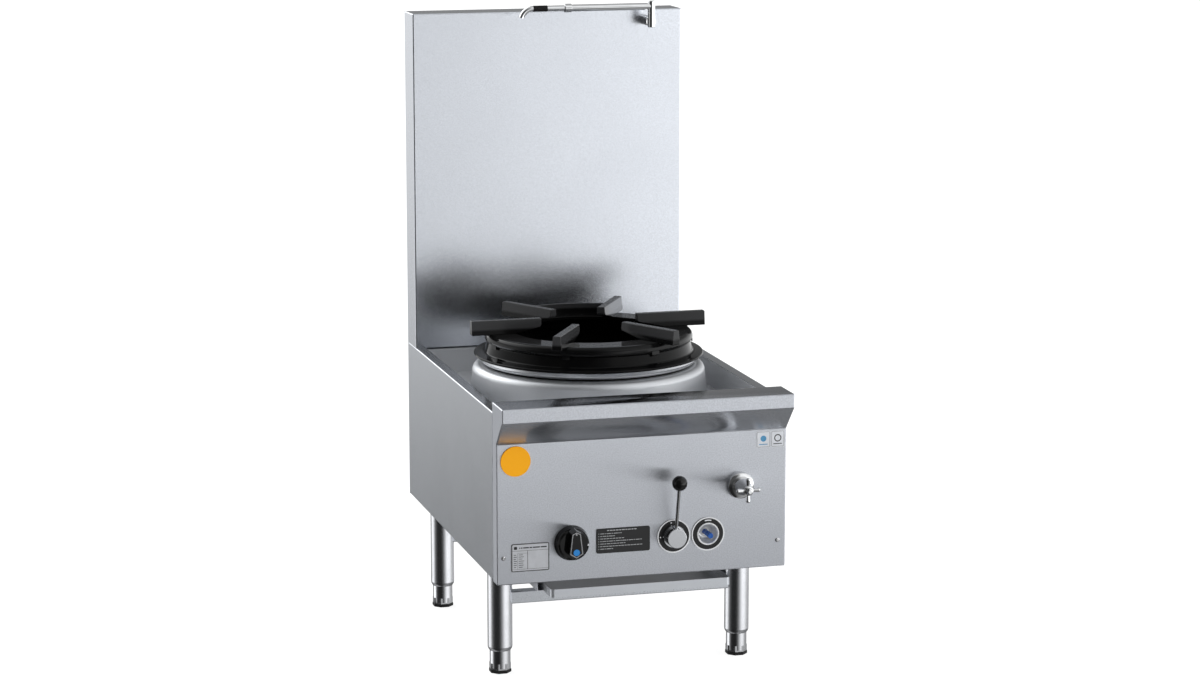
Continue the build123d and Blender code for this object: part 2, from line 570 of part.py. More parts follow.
with BuildPart() as tap_handle:
    with BuildSketch(Plane(origin=(TAP_X, Y(0), TAP_Z), x_dir=(1, 0, 0), z_dir=(0, 0, 1))):
        with BuildLine():
            Polyline((0, -67.0), (0, -8.0), (4.0, -8.0), (4.0, -41.0), (9.4, -41.0), (9.4, -27.5), (10.8, -27.5), (10.8, -24.0),
                     (15.5, -20.3), (16.8, -20.0), (17.2, -20.8), (15.6, -28.0), (13.0, -35.5), (10.6, -42.5), (9.4, -46.5), (10.0, -47.0), (10.0, -57.0), (8.6, -58.6), (7.0, -59.2), (7.0, -64.4), (6.0, -66.2),
                     (3.6, -67.0), close=True)
        make_face()
    revolve(axis=Axis((TAP_X, Y(0), TAP_Z), (0, 1, 0)))
    for k in range(4):
        add(tap_arm.part.moved(Location((TAP_X, Y(-52.5), TAP_Z), (0, 90 - 90 * k, 0))))
keep(tap_handle, "tap_handle")

with BuildPart() as water_inlet:
    tube([(WATER_X, INLET_Y, 190), (WATER_X, INLET_Y, 345), (WATER_X, 105, 345), (TAP_X, 105, 345), (TAP_X, 105, TAP_Z),
          (TAP_X, 60, TAP_Z)], 18.0, 10.45, 7.9)
keep(water_inlet, "water_inlet")

with BuildPart() as water_riser:
    tube([(TAP_X, 35, TAP_Z + 24), (TAP_X, 35, 478), (ARM_X, 777, 478), (ARM_X, 777, 1275), (ARM_X, 737, 1275)], 20.0, 8.0, 6.2)
keep(water_riser, "water_riser")

# ---------------------------------------------------------------- pot-filler arm
with BuildPart() as arm_bracket:
    cyl_y(ARM_X, ARM_Y + 2, SPLASH_Y, 1273.5, 11.0)
    cyl_z(ARM_X, ARM_Y, 1261.5, 1292.4, 8.0)
    fillet(near(arm_bracket.edges().filter_by(GeomType.CIRCLE), (ARM_X, Y(ARM_Y), 1261.5)), 1.0)
    cyl_z(ARM_X, ARM_Y, 1266, 1294, 5.08, Mode.SUBTRACT)
keep(arm_bracket, "arm_bracket")

with BuildPart() as arm_tube:
    cyl_z(ARM_X, ARM_Y, 1292.9, 1318.5, 8.0)
    fillet(near(arm_tube.edges().filter_by(GeomType.CIRCLE), (ARM_X, Y(ARM_Y), 1318.5)), 1.0)
    cyl_z(ARM_X, ARM_Y, 1268, 1294, 5.0)
    cyl_x(ARM_REST_X, ARM_X, ARM_Y, ARM_Z, 7.2)
    cyl_x(ARM_REST_X, ARM_REST_X + 15.5, ARM_Y, ARM_Z, 9.2)
    fillet([e for e in arm_tube.edges().filter_by(GeomType.CIRCLE)
            if abs(e.radius - 9.2) < 0.01], 1.0)
    cyl_x(ARM_REST_X - 1, ARM_X - 10, ARM_Y, ARM_Z, 6.35, Mode.SUBTRACT)
keep(arm_tube, "arm_tube")

with BuildPart() as arm_spout:
    with BuildLine() as path:
        s1 = Line((ARM_X - 51, Y(ARM_Y), ARM_Z), (-48.5, Y(ARM_Y), ARM_Z))
        ThreePointArc(s1 @ 1, (-48.5 - 25.7 * math.sin(math.radians(38)), Y(ARM_Y), ARM_Z - 25.7 * (1 - math.cos(math.radians(38)))),
                      (-48.5 - 25.7 * math.sin(math.radians(76)), Y(ARM_Y), ARM_Z - 25.7 * (1 - math.cos(math.radians(76)))))
    with BuildSketch(Plane(origin=path.line @ 0, z_dir=path.line % 0)):
        Circle(6.0)
        Circle(4.8, mode=Mode.SUBTRACT)
    sweep(path=path.line)
keep(arm_spout, "arm_spout")

with BuildPart() as arm_sleeve:
    cyl_x(-48.5, -17.0, ARM_Y, ARM_Z, 6.6)
    fillet(arm_sleeve.edges().filter_by(GeomType.CIRCLE), 0.4)
    cyl_x(-50, -15, ARM_Y, ARM_Z, 6.0, Mode.SUBTRACT)
keep(arm_sleeve, "arm_sleeve")

# ---------------------------------------------------------------- plates and blanks on the front panel
with BuildPart() as badge:
    cyl_y(-261.1, -2.0, 0, 476.4, 30.5)
    fillet(near(badge.edges().filter_by(GeomType.CIRCLE), (-261.1, Y(-2.0), 476.4)), 0.9)
keep(badge, "badge")

for name, x0, x1, z0, z1, t, r in (("instruction_plate", -96.4, 14.5, 278.4, 328.9, 1.2, 4.0),
                                   ("rating_plate", -270.5, -193.3, 252.4, 309.3, 0.8, 3.0)):
    with BuildPart() as plate:
        with BuildSketch(Plane(origin=((x0 + x1) / 2, Y(0), (z0 + z1) / 2), x_dir=(1, 0, 0), z_dir=(0, -1, 0))):
            RectangleRounded(x1 - x0, z1 - z0, r)
        extrude(amount=t)
    keep(plate, name)

with BuildPart() as label_blanks:
    box(237.0, 265.9, -0.4, 0, 474.0, 507.6)
    box(267.7, 295.6, -0.4, 0, 474.0, 507.6)
keep(label_blanks, "label_blanks")

with BuildPart() as panel_screws:
    for a, b in SCREWS_FRONT:
        cyl_y(a, -1.0, 0, b, 4.4)
        cone_y(a, -2.6, -1.0, b, 2.6, 4.4)
        cyl_y(a, -1, 9, b, 1.9)
    for a, b in SCREWS_REAR:
        cyl_y(a, REAR, REAR + 1.0, b, 4.4)
        cone_y(a, REAR + 1.0, REAR + 2.0, b, 4.4, 2.6)
        cyl_y(a, REAR - 9, REAR + 1, b, 1.9)
keep(panel_screws, "panel_screws")

print(len(solids), "parts")
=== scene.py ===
import math

import bmesh
import bpy
from mathutils import Matrix, Vector


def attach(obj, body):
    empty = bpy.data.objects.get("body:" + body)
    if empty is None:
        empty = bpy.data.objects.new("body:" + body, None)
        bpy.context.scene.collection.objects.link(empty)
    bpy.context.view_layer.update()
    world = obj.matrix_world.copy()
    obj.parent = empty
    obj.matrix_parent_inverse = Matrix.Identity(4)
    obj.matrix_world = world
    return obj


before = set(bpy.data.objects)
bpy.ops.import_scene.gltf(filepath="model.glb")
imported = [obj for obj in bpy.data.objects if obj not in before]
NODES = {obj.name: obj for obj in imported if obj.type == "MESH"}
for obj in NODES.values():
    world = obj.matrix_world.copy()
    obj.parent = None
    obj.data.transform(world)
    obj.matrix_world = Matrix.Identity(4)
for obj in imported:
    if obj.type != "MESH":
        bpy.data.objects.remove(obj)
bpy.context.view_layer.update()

# Depths are counted from the face of the front panel, as in the solid model, and moved to the row frame here.
Y_MID = 0.376
PANEL_Y = -Y_MID
CTRL_Z = 0.3042
KNOB_X, LEVER_X, BUTTON_X = -0.1473, 0.0643, 0.1358
LEG_X, LEG_YS = 0.253, (0.1706 - Y_MID, 0.702 - Y_MID)
BURN = Vector((0.0, 0.411 - Y_MID, 0.0))

scene = bpy.context.scene
scene.view_settings.view_transform = "Standard"
scene.view_settings.look = "None"
scene.view_settings.exposure = 0.0
scene.view_settings.gamma = 1.0


# ------------------------------------------------------------------------------------------------ material helpers
class Mat:
    """A node material that starts with one principled shader."""

    def __init__(self, name):
        self.m = bpy.data.materials.new(name)
        self.m.use_nodes = True
        self.t = self.m.node_tree
        self.t.nodes.clear()
        self.out = self.new("ShaderNodeOutputMaterial")
        self.b = self.new("ShaderNodeBsdfPrincipled")
        self.link(self.b.outputs["BSDF"], self.out.inputs["Surface"])
        self.co = self.new("ShaderNodeTexCoord").outputs["Object"]

    def new(self, kind, **kw):
        n = self.t.nodes.new(kind)
        for k, v in kw.items():
            setattr(n, k, v)
        return n

    def link(self, a, b):
        self.t.links.new(a, b)

    def set(self, **kw):
        names = {"color": "Base Color", "metal": "Metallic", "rough": "Roughness", "aniso": "Anisotropic",
                 "aniso_rot": "Anisotropic Rotation", "coat": "Coat Weight", "coat_rough": "Coat Roughness",
                 "spec": "Specular IOR Level", "tint": "Specular Tint", "ior": "IOR", "sheen": "Sheen Weight"}
        for k, v in kw.items():
            s = self.b.inputs[names[k]]
            s.default_value = (*v, 1.0) if k in ("color", "tint") else v
        return self

    def stretch(self, scale, rot=(0, 0, 0), co=None):
        n = self.new("ShaderNodeMapping")
        n.inputs["Scale"].default_value = scale
        n.inputs["Rotation"].default_value = rot
        self.link(co or self.co, n.inputs["Vector"])
        return n.outputs["Vector"]

    def noise(self, scale, detail=3.0, rough=0.55, co=None, distort=0.0):
        n = self.new("ShaderNodeTexNoise")
        n.inputs["Scale"].default_value = scale
        n.inputs["Detail"].default_value = detail
        n.inputs["Roughness"].default_value = rough
        n.inputs["Distortion"].default_value = distort
        self.link(co or self.co, n.inputs["Vector"])
        return n.outputs["Fac"]

    def voronoi(self, scale, feature="F1", co=None):
        n = self.new("ShaderNodeTexVoronoi", feature=feature)
        n.inputs["Scale"].default_value = scale
        self.link(co or self.co, n.inputs["Vector"])
        return n.outputs["Distance"]

    def math(self, op, a, b=None, c=None):
        n = self.new("ShaderNodeMath", operation=op)
        for i, v in enumerate((a, b, c)):
            if v is None:
                continue
            if isinstance(v, (int, float)):
                n.inputs[i].default_value = v
            else:
                self.link(v, n.inputs[i])
        return n.outputs[0]

    def remap(self, v, lo, hi, to_lo, to_hi, smooth=False):
        n = self.new("ShaderNodeMapRange")
        n.interpolation_type = "SMOOTHSTEP" if smooth else "LINEAR"
        for i, x in zip(("From Min", "From Max", "To Min", "To Max"), (lo, hi, to_lo, to_hi)):
            n.inputs[i].default_value = x
        self.link(v, n.inputs["Value"])
        return n.outputs["Result"]

    def mix(self, f, a, b):
        n = self.new("ShaderNodeMix", data_type="RGBA")
        self.link(f, n.inputs["Factor"]) if not isinstance(f, (int, float)) else setattr(n.inputs["Factor"], "default_value", f)
        for key, v in (("A", a), ("B", b)):
            s = [i for i in n.inputs if i.name == key and i.type == "RGBA"][0]
            if isinstance(v, tuple):
                s.default_value = (*v, 1.0)
            else:
                self.link(v, s)
        return [o for o in n.outputs if o.type == "RGBA"][0]

    def color(self, v):
        self.link(v, self.b.inputs["Base Color"])

    def rough(self, v):
        self.link(v, self.b.inputs["Roughness"])

    def bump(self, h, strength, distance, normal=None):
        n = self.new("ShaderNodeBump")
        n.inputs["Strength"].default_value = strength
        n.inputs["Distance"].default_value = distance
        self.link(h, n.inputs["Height"])
        if normal is not None:
            self.link(normal, n.inputs["Normal"])
        return n.outputs["Normal"]

    def normal(self, v):
        self.link(v, self.b.inputs["Normal"])

    def xyz(self, co=None):
        n = self.new("ShaderNodeSeparateXYZ")
        self.link(co or self.co, n.inputs[0])
        return n.outputs


def scaled(c, k):
    return tuple(min(1.0, x * k) for x in c)


def sheet_steel(name, color, rough, aniso=0.0, mottle=0.018, heat=0.0, metal=1.0, spread=0.012, zones=(), bow=None):
    """Satin stainless sheet: a fine granular mottle and soft clouding, brighter polish in the named zones, and painted
    shade where a zone darkens the colour.
    """
    m = Mat(name)
    m.set(metal=metal, aniso=aniso)
    grainy = m.noise(1100.0, 1.5, 0.5)
    cloud = m.noise(4.0, 2.0, 0.5)
    c = m.mix(m.remap(m.noise(420.0, 1.0, 0.5), 0.3, 0.7, 0.0, 1.0), scaled(color, 1.0 - mottle), scaled(color, 1.0 + mottle))
    c = m.mix(m.remap(cloud, 0.35, 0.7, 0.0, 0.3), c, scaled(color, 0.97))
    if heat:
        c = m.mix(m.remap(m.noise(9.0, 4.0, 0.6), 0.48, 0.75, 0.0, heat), c, (color[0] * 0.78, color[1] * 0.68, color[2] * 0.55))
    r = m.math("ADD", m.remap(grainy, 0.35, 0.65, rough - spread, rough + spread), m.remap(cloud, 0.35, 0.7, -0.006, 0.008))
    axes = m.xyz() if zones else None
    # zones are boxes given as (axis, from, to) in metres, with a roughness of their own and a factor of painted shade
    # that darkens their colour
    for limits, zone_rough, shade in zones:
        z = None
        for k, lo, hi in limits:
            g = m.math("MULTIPLY", m.remap(axes[k], lo - 0.0006, lo, 0.0, 1.0), m.remap(axes[k], hi, hi + 0.0006, 1.0, 0.0))
            z = g if z is None else m.math("MULTIPLY", z, g)
        r = m.math("ADD", r, m.math("MULTIPLY", z, m.math("SUBTRACT", zone_rough, r)))
        # painted shade: the zone's colour is darkened by its factor
        if shade != 1.0:
            c = m.mix(z, c, scaled(color, shade))
    if bow:
        # a sheet that curves slightly between two heights
        rise = m.remap(axes[2], bow[0], bow[1], 0.0, bow[1] - bow[0])
        curve = m.new("ShaderNodeBump")
        curve.inputs["Distance"].default_value = 1.0
        m.link(m.math("MULTIPLY", m.math("MULTIPLY", rise, rise), 0.5 * bow[2]), curve.inputs["Height"])
        m.link(m.math("MULTIPLY", m.remap(axes[0], -0.2985, -0.2975, 0.0, 1.0), m.remap(axes[0], 0.2975, 0.2985, 1.0, 0.0)), curve.inputs["Strength"])
        m.normal(curve.outputs["Normal"])
    m.color(c)
    m.rough(r)
    return m.m


def gloss_black(name, rough, spec=1.0):
    """Thick glossy black enamel on a turned ring."""
    m = Mat(name)
    m.set(spec=spec)
    ripple = m.noise(60.0, 3.0, 0.5)
    soot = m.remap(m.noise(16.0, 4.0, 0.6), 0.42, 0.72, 0.0, 1.0)
    m.color(m.mix(soot, (0.0035, 0.0035, 0.0038), (0.007, 0.0068, 0.0066)))
    m.rough(m.remap(soot, 0.0, 1.0, rough, rough + 0.05))
    m.normal(m.bump(ripple, 0.02, 0.0006))
    return m.m


def polished(name, color, rough, grain=None, marks=0.03, bump=0.02):
    """Polished metal with faint turning lines and finger marks."""
    m = Mat(name)
    m.set(metal=1.0)
    smear = m.noise(38.0, 4.0, 0.6, distort=0.4)
    c = m.mix(m.remap(smear, 0.4, 0.75, 0.0, 1.0), color, scaled(color, 0.93))
    m.color(c)
    if grain:
        lines = m.noise(1.0, 3.0, 0.6, m.stretch(grain))
        m.rough(m.math("ADD", m.remap(smear, 0.45, 0.75, rough, rough + marks), m.remap(lines, 0.3, 0.7, -marks * 0.5, marks)))
        m.normal(m.bump(lines, bump, 0.0002))
    else:
        m.rough(m.remap(smear, 0.45, 0.75, rough, rough + marks))
        m.normal(m.bump(smear, bump, 0.0004))
    return m.m


def enamel(name, base=0.004, rough=0.1, spec=0.5, rest=None):
    """Black vitreous enamel over cast iron: an even gloss, slightly rippled, rubbed dull on the pot-bearing tops, and
    with painted light on the fingers, which are coloured lighter than the shaded ring below.
    """
    m = Mat(name)
    m.set(spec=spec)
    ripple = m.noise(95.0, 3.0, 0.5)
    soot = m.remap(m.noise(14.0, 4.0, 0.6), 0.45, 0.75, 0.0, 1.0)
    c = m.mix(soot, (base, base, base * 1.05), (base * 1.5, base * 1.45, base * 1.4))
    r = m.remap(soot, 0.0, 1.0, rough, rough + 0.04)
    if rest:
        z = m.xyz()[2]
        finger_painted_light = m.remap(z, rest - 0.0215, rest - 0.0165, 0.0, 1.0)  # painted light: the fingers are coloured lighter than the ring below, which stands in shade
        c = m.mix(finger_painted_light, c, (0.056, 0.056, 0.058))
        rub = m.math("MULTIPLY", m.remap(z, rest - 0.0010, rest - 0.0001, 0.0, 1.0), m.remap(m.noise(60.0, 5.0, 0.65), 0.4, 0.62, 0.2, 1.0))
        c = m.mix(rub, c, (0.044, 0.044, 0.0455))
        r = m.math("ADD", r, m.math("MULTIPLY", rub, 0.2))
    m.color(c)
    m.rough(r)
    m.normal(m.bump(ripple, 0.04, 0.0005))
    return m.m


def rim_band(name):
    """Bright turned bead under the rings, with painted shade inside it and in the groove at its foot."""
    m = Mat(name)
    m.set(metal=1.0)
    x, y, z = m.xyz()
    dy = m.math("SUBTRACT", y, BURN.y)
    r = m.math("SQRT", m.math("ADD", m.math("MULTIPLY", x, x), m.math("MULTIPLY", dy, dy)))
    # painted shade: the inner faces and the groove at the foot are coloured near black and made rougher, standing in
    # for the shade there
    inside = m.remap(r, 0.2145, 0.2165, 1.0, 0.0)
    foot = m.remap(z, 0.5902, 0.5916, 1.0, 0.0)
    dark = m.math("MAXIMUM", inside, foot)
    smear = m.noise(60.0, 4.0, 0.6)
    c = m.mix(m.remap(smear, 0.35, 0.7, 0.0, 1.0), (0.62, 0.63, 0.65), (0.59, 0.595, 0.61))
    m.color(m.mix(dark, c, (0.012, 0.012, 0.012)))
    m.rough(m.math("ADD", m.remap(smear, 0.35, 0.7, 0.20, 0.22), m.math("MULTIPLY", dark, 0.35)))
    return m.m


def raw_iron(name):
    m = Mat(name)
    m.set(spec=0.12)
    a = m.noise(420.0, 5.0, 0.7)
    b = m.noise(22.0, 5.0, 0.65)
    c = m.mix(m.remap(b, 0.42, 0.7, 0.0, 1.0), (0.003, 0.003, 0.003), (0.008, 0.0065, 0.0055))
    m.color(c)
    m.rough(m.remap(a, 0.3, 0.7, 0.6, 0.85))
    m.normal(m.bump(a, 0.35, 0.0008))
    return m.m


def moulded(name, color, rough, grain=900.0, bump=0.08, spec=0.5, vary=0.12):
    """Moulded plastic with a fine spark-eroded texture and slight polish from handling."""
    m = Mat(name)
    m.set(spec=spec)
    a = m.noise(grain, 2.0, 0.5)
    b = m.noise(30.0, 4.0, 0.6)
    c = m.mix(m.remap(b, 0.35, 0.7, 0.0, 1.0), scaled(color, 1.0 - vary), scaled(color, 1.0 + vary))
    m.color(c)
    m.rough(m.remap(b, 0.35, 0.7, rough - 0.05, rough + 0.06))
    m.normal(m.bump(a, bump, 0.0002))
    return m.m


def printed(name, color, rough=0.45, vary=0.06, metal=0.0):
    """Screen-printed ink or painted plate."""
    m = Mat(name)
    m.set(metal=metal, spec=0.4)
    a = m.noise(1500.0, 2.0, 0.5)
    b = m.noise(45.0, 3.0, 0.6)
    c = m.mix(m.remap(b, 0.35, 0.7, 0.0, 1.0), scaled(color, 1.0 - vary), scaled(color, 1.0 + vary))
    m.color(c)
    m.rough(m.remap(a, 0.3, 0.7, rough - 0.05, rough + 0.05))
    m.normal(m.bump(a, 0.04, 0.0002))
    return m.m


def cast_brass(name):
    m = Mat(name)
    m.set(metal=1.0)
    a = m.noise(300.0, 4.0, 0.6)
    b = m.noise(25.0, 4.0, 0.6)
    c = m.mix(m.remap(b, 0.4, 0.7, 0.0, 1.0), (0.62, 0.44, 0.18), (0.42, 0.28, 0.12))
    m.color(c)
    m.rough(m.remap(a, 0.3, 0.7, 0.26, 0.42))
    m.normal(m.bump(a, 0.12, 0.0004))
    return m.m


def drawn_copper(name):
    m = Mat(name)
    m.set(metal=1.0)
    b = m.noise(16.0, 5.0, 0.65)
    c = m.mix(m.remap(b, 0.4, 0.68, 0.0, 1.0), (0.72, 0.38, 0.24), (0.36, 0.2, 0.13))
    m.color(c)
    m.rough(m.remap(b, 0.35, 0.7, 0.22, 0.42))
    m.normal(m.bump(m.noise(260.0, 3.0, 0.6), 0.06, 0.0003))
    return m.m


def zinc(name, color=(0.52, 0.53, 0.55)):
    """Galvanised steel with soft crystal spangle."""
    m = Mat(name)
    m.set(metal=1.0)
    cell = m.new("ShaderNodeTexVoronoi")
    cell.inputs["Scale"].default_value = 95.0
    m.link(m.co, cell.inputs["Vector"])
    bw = m.new("ShaderNodeSeparateColor")
    m.link(cell.outputs["Color"], bw.inputs[0])
    v = bw.outputs[0]
    c = m.mix(m.remap(v, 0.0, 1.0, 0.0, 1.0), scaled(color, 0.82), scaled(color, 1.08))
    m.color(c)
    m.rough(m.remap(v, 0.0, 1.0, 0.34, 0.5))
    m.normal(m.bump(m.noise(240.0, 3.0, 0.6), 0.08, 0.0004))
    return m.m


STEEL = (0.60, 0.62, 0.655)
MATS = {
    # painted shade: the lip top (0.76) and the left end face (0.78) are coloured darker than the front, standing in for
    # how light falls on them
    "panel": sheet_steel("panel_satin", (0.645, 0.664, 0.709), 0.35, aniso=1.0, mottle=0.098, spread=0.05,
                         zones=((((2, 0.5905, 0.60),), 0.13, 0.76), (((0, -0.31, -0.2975), (2, 0.5885, 0.60)), 0.13, 1.0),
                                (((0, -0.2985, 0.2985), (2, 0.5135, 0.5615)), 0.19, 1.0),
                                (((0, -0.31, -0.2985), (2, 0.2, 0.5880)), 0.35, 0.78)),
                         bow=(0.5135, 0.5625, -2.1)),
    "side": sheet_steel("side_satin", scaled(STEEL, 1.04), 0.28, aniso=0.4, mottle=0.025, spread=0.05, zones=((((2, 0.5695, 0.60),), 0.13, 1.0),)),
    "splash": sheet_steel("splash_satin", (0.667, 0.690, 0.737), 0.255, aniso=0.1, mottle=0.064, spread=0.03, zones=((((2, 1.2950, 1.32),), 0.13, 1.0),)),
    "rear": sheet_steel("rear_satin", scaled(STEEL, 0.95), 0.36),
    "deck": sheet_steel("deck_satin", (0.66, 0.67, 0.69), 0.42, heat=0.04, metal=0.5),
    "tray": sheet_steel("tray_satin", scaled(STEEL, 0.98), 0.30, metal=0.75),
    "rail": sheet_steel("rail_satin", scaled(STEEL, 0.98), 0.28, metal=0.9),
    "frame": zinc("frame_zinc"),
    "leg": polished("leg_polished", (0.68, 0.685, 0.71), 0.25, None, marks=0.006, bump=0.0),
    "foot": polished("foot_polished", (0.66, 0.665, 0.685), 0.16, None, marks=0.01, bump=0.0),
    "bolt": zinc("bolt_zinc", (0.58, 0.57, 0.55)),
    "screw": polished("screw_bright", (0.75, 0.75, 0.76), 0.16),
    "collar": sheet_steel("collar_spun", (0.69, 0.705, 0.73), 0.44, heat=0.03, metal=0.85),
    "ring": rim_band("rim_band"),
    "enamel": enamel("black_enamel", 0.005, 0.10, 0.16, rest=0.6850),
    "enamel_flare": gloss_black("black_enamel_flare", 0.08, 0.10),
    "iron": raw_iron("raw_iron"),
    "brass": cast_brass("cast_brass"),
    "pipe": zinc("pipe_zinc", (0.5, 0.51, 0.53)),
    "copper": drawn_copper("drawn_copper"),
    "knob": enamel("knob_black", 0.0022, 0.05, 0.36),
    "ball": enamel("ball_black", 0.004, 0.11, 0.35),
    "hub": sheet_steel("hub_turned", (0.58, 0.59, 0.61), 0.12, mottle=0.01),
    "rod": polished("rod_chrome", (0.74, 0.745, 0.755), 0.08, (40.0, 40.0, 1500.0), marks=0.02),
    "bezel": printed("bezel_black", (0.010, 0.010, 0.011), 0.42),
    "chrome": polished("chrome", (0.80, 0.805, 0.815), 0.045, marks=0.025, bump=0.01),
    "dish": sheet_steel("dish_spun", (0.84, 0.845, 0.85), 0.34, mottle=0.01, metal=0.55),
    "blue": moulded("button_blue", (0.016, 0.10, 0.40), 0.30, 600.0, 0.03, spec=0.3),
    "sleeve": moulded("sleeve_rubber", (0.008, 0.008, 0.008), 0.55, 1200.0, 0.2, spec=0.25),
    "orange": moulded("badge_amber", (1.0, 0.432, 0.009), 0.35, 400.0, 0.02, spec=0.15, vary=0.02),
    "plate_dark": printed("plate_black", (0.014, 0.014, 0.015), 0.42),
    "plate_pale": printed("plate_pale", (0.60, 0.61, 0.64), 0.34, metal=0.9),
    "label": printed("label_pale", (0.74, 0.76, 0.80), 0.5),
    "ink_white": printed("ink_white", (0.84, 0.85, 0.87), 0.5),
    "ink_pale": printed("ink_pale", (0.42, 0.43, 0.44), 0.5),
    "ink_grey": printed("ink_grey", (0.065, 0.066, 0.068), 0.5),
    # dark ink for print, also used as painted shade for the screw-head recesses
    "dark_ink_and_painted_shade": printed("dark_ink_and_painted_shade", (0.012, 0.012, 0.013), 0.5),
    "ink_blue": printed("ink_blue", (0.012, 0.215, 0.60), 0.45),
    "ink_sky": printed("ink_sky", (0.08, 0.30, 0.52), 0.45),
    "silver_line": polished("silver_line", (0.36, 0.36, 0.37), 0.3),
    "pad": moulded("pad_black", (0.010, 0.010, 0.010), 0.6, 500.0, 0.2, spec=0.25),
}

LOOK = {
    "fascia": "panel", "side_left": "side", "side_right": "side", "rear_panel": "rear", "splash_front": "splash",
    "deck_pan": "deck", "chassis": "frame", "rail_front": "rail", "rail_rear": "rail", "runner_left": "tray",
    "runner_right": "tray", "drip_tray": "tray", "leg_bolts": "bolt", "panel_screws": "screw", "burner_collar": "collar",
    "rim_ring": "ring", "trivet": "enamel", "lower_ring": "enamel_flare", "burner_bowl": "iron",
    "burner_head": "iron", "mixer_tube": "iron", "main_valve": "brass", "pilot_cock": "brass", "ffd_valve": "brass",
    "injector": "brass", "tap_body": "brass", "gas_manifold": "pipe", "burner_pipe": "pipe", "pilot_burner": "copper",
    "thermocouple": "copper", "water_inlet": "copper", "water_riser": "copper", "knob": "knob", "lever_ball": "ball",
    "lever_hub": "hub", "lever_rod": "rod", "lever_bezel": "bezel", "button_bezel": "bezel", "button_dish": "dish",
    "button_pin": "blue", "tap_flange": "chrome", "tap_handle": "chrome", "arm_bracket": "chrome", "arm_tube": "chrome",
    "arm_spout": "chrome", "arm_sleeve": "sleeve", "badge": "orange", "instruction_plate": "plate_dark",
    "rating_plate": "plate_pale", "label_blanks": "label",
}
for tag in ("fl", "fr", "rl", "rr"):
    LOOK["leg_" + tag] = "leg"
    LOOK["foot_" + tag] = "foot"

for node, obj in NODES.items():
    obj.data.materials.clear()
    obj.data.materials.append(MATS[LOOK[node]])


# ------------------------------------------------------------------------------------------------ small pieces
def mesh_object(name, bm, mat, body, smooth_angle=35.0):
    bmesh.ops.remove_doubles(bm, verts=bm.verts, dist=1e-7)
    bmesh.ops.recalc_face_normals(bm, faces=bm.faces)
    me = bpy.data.meshes.new(name)
    bm.to_mesh(me)
    bm.free()
    me.materials.append(MATS[mat])
    for p in me.polygons:
        p.use_smooth = True
    me.set_sharp_from_angle(angle=math.radians(smooth_angle))
    ob = bpy.data.objects.new(name, me)
    scene.collection.objects.link(ob)
    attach(ob, body)
    return ob


def prism(bm, outline, y_back, y_front, soft=0.0):
    """Closed solid from an outline of (x, z) points, between two depths, with an optional eased front edge."""
    def loop(pts, y):
        return [bm.verts.new((a, y, b)) for a, b in pts]
    cx = sum(p[0] for p in outline) / len(outline)
    cz = sum(p[1] for p in outline) / len(outline)
    rings = [loop(outline, y_back)]
    if soft:
        rings.append(loop(outline, y_front + soft))
        inner = []
        for a, b in outline:
            d = math.hypot(a - cx, b - cz) or 1.0
            inner.append((a - (a - cx) / d * soft, b - (b - cz) / d * soft))
        rings.append(loop(inner, y_front))
    else:
        rings.append(loop(outline, y_front))
    n = len(outline)
    for r0, r1 in zip(rings, rings[1:]):
        for i in range(n):
            bm.faces.new((r0[i], r0[(i + 1) % n], r1[(i + 1) % n], r1[i]))
    bm.faces.new(rings[0][::-1])
    bm.faces.new(rings[-1])


def rect(x0, x1, z0, z1, r=0.0, seg=5):
    if r <= 0:
        return [(x0, z0), (x1, z0), (x1, z1), (x0, z1)]
    pts = []
    for cx, cz, a0 in ((x1 - r, z0 + r, -90), (x1 - r, z1 - r, 0), (x0 + r, z1 - r, 90), (x0 + r, z0 + r, 180)):
        for k in range(seg + 1):
            a = math.radians(a0 + 90 * k / seg)
            pts.append((cx + r * math.cos(a), cz + r * math.sin(a)))
    return pts


def disc(cx, cz, r, seg=48):
    return [(cx + r * math.cos(2 * math.pi * k / seg), cz + r * math.sin(2 * math.pi * k / seg)) for k in range(seg)]


def frame_band(bm, outer, inner, y_back, y_front):
    """Closed band between two outlines with equal counts of (x, z) points."""
    n = len(outer)
    vs = [[bm.verts.new((a, y, b)) for a, b in loop] for loop, y in
          ((outer, y_back), (outer, y_front), (inner, y_front), (inner, y_back))]
    for k in range(4):
        p, q = vs[k], vs[(k + 1) % 4]
        for i in range(n):
            bm.faces.new((p[i], p[(i + 1) % n], q[(i + 1) % n], q[i]))


def arc_band(bm, cx, cz, r0, r1, a0, a1, y_back, y_front, seg=12):
    pts = []
    for k in range(seg + 1):
        a = math.radians(a0 + (a1 - a0) * k / seg)
        pts.append((cx + r1 * math.cos(a), cz + r1 * math.sin(a)))
    for k in range(seg, -1, -1):
        a = math.radians(a0 + (a1 - a0) * k / seg)
        pts.append((cx + r0 * math.cos(a), cz + r0 * math.sin(a)))
    prism(bm, pts, y_back, y_front)


def at(depth_mm):
    return depth_mm / 1000.0 - Y_MID


